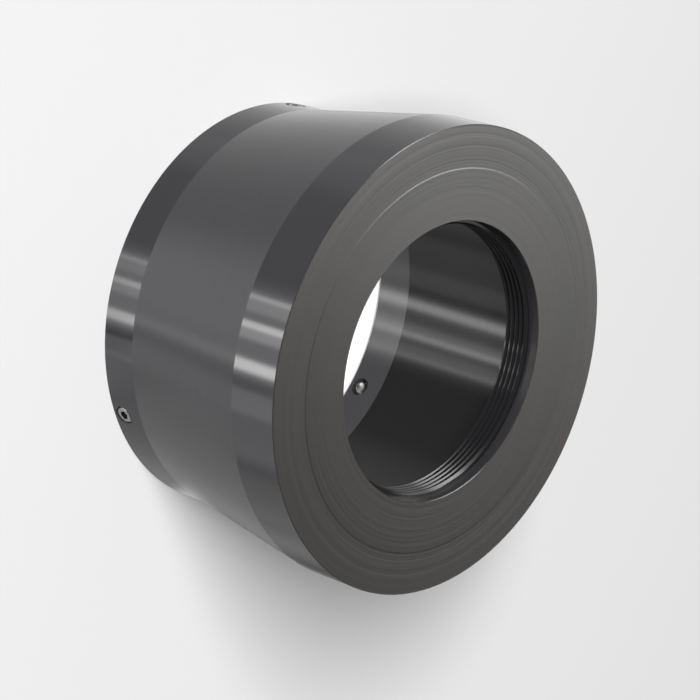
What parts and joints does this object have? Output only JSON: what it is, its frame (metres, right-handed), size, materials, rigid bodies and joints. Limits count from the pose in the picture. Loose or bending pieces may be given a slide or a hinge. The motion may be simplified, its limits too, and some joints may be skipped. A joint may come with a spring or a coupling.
{
  "type": "telescope focuser adapter",
  "caption": "Turned adapter ring for a telescope focuser: a drawtube socket with radial set screws at the rear, a tapered outside, and an internal accessory thread through the front flange.",
  "frame": {"origin": "centre of the rear rim, on the optical axis, where the part stands on its rear end", "axes": "+Z along the optical axis from the rear rim to the front face, +Y through the first set screw"},
  "size_m": [0.0864, 0.0864, 0.0478],
  "materials": {
    "black_anodised_aluminium": "turned and black anodised, satin, the cone softer than the two bands",
    "stainless_steel": "bright stainless"
  },
  "bodies": {
    "adapter": {"adapter_body": "black_anodised_aluminium"},
    "screw_1": {"set_screw_1": "stainless_steel"},
    "screw_2": {"set_screw_2": "stainless_steel"},
    "screw_3": {"set_screw_3": "stainless_steel"}
  },
  "joints": [
    {"name": "set_screw_1_drive", "type": "slide", "parent": "adapter", "child": "screw_1", "axis": [0, -1, 0], "range_m": [-0.001, 0.0015]},
    {"name": "set_screw_2_drive", "type": "slide", "parent": "adapter", "child": "screw_2", "axis": [0.866, 0.5, 0], "range_m": [-0.001, 0.0015]},
    {"name": "set_screw_3_drive", "type": "slide", "parent": "adapter", "child": "screw_3", "axis": [-0.866, 0.5, 0], "range_m": [-0.001, 0.0015]}
  ]
}
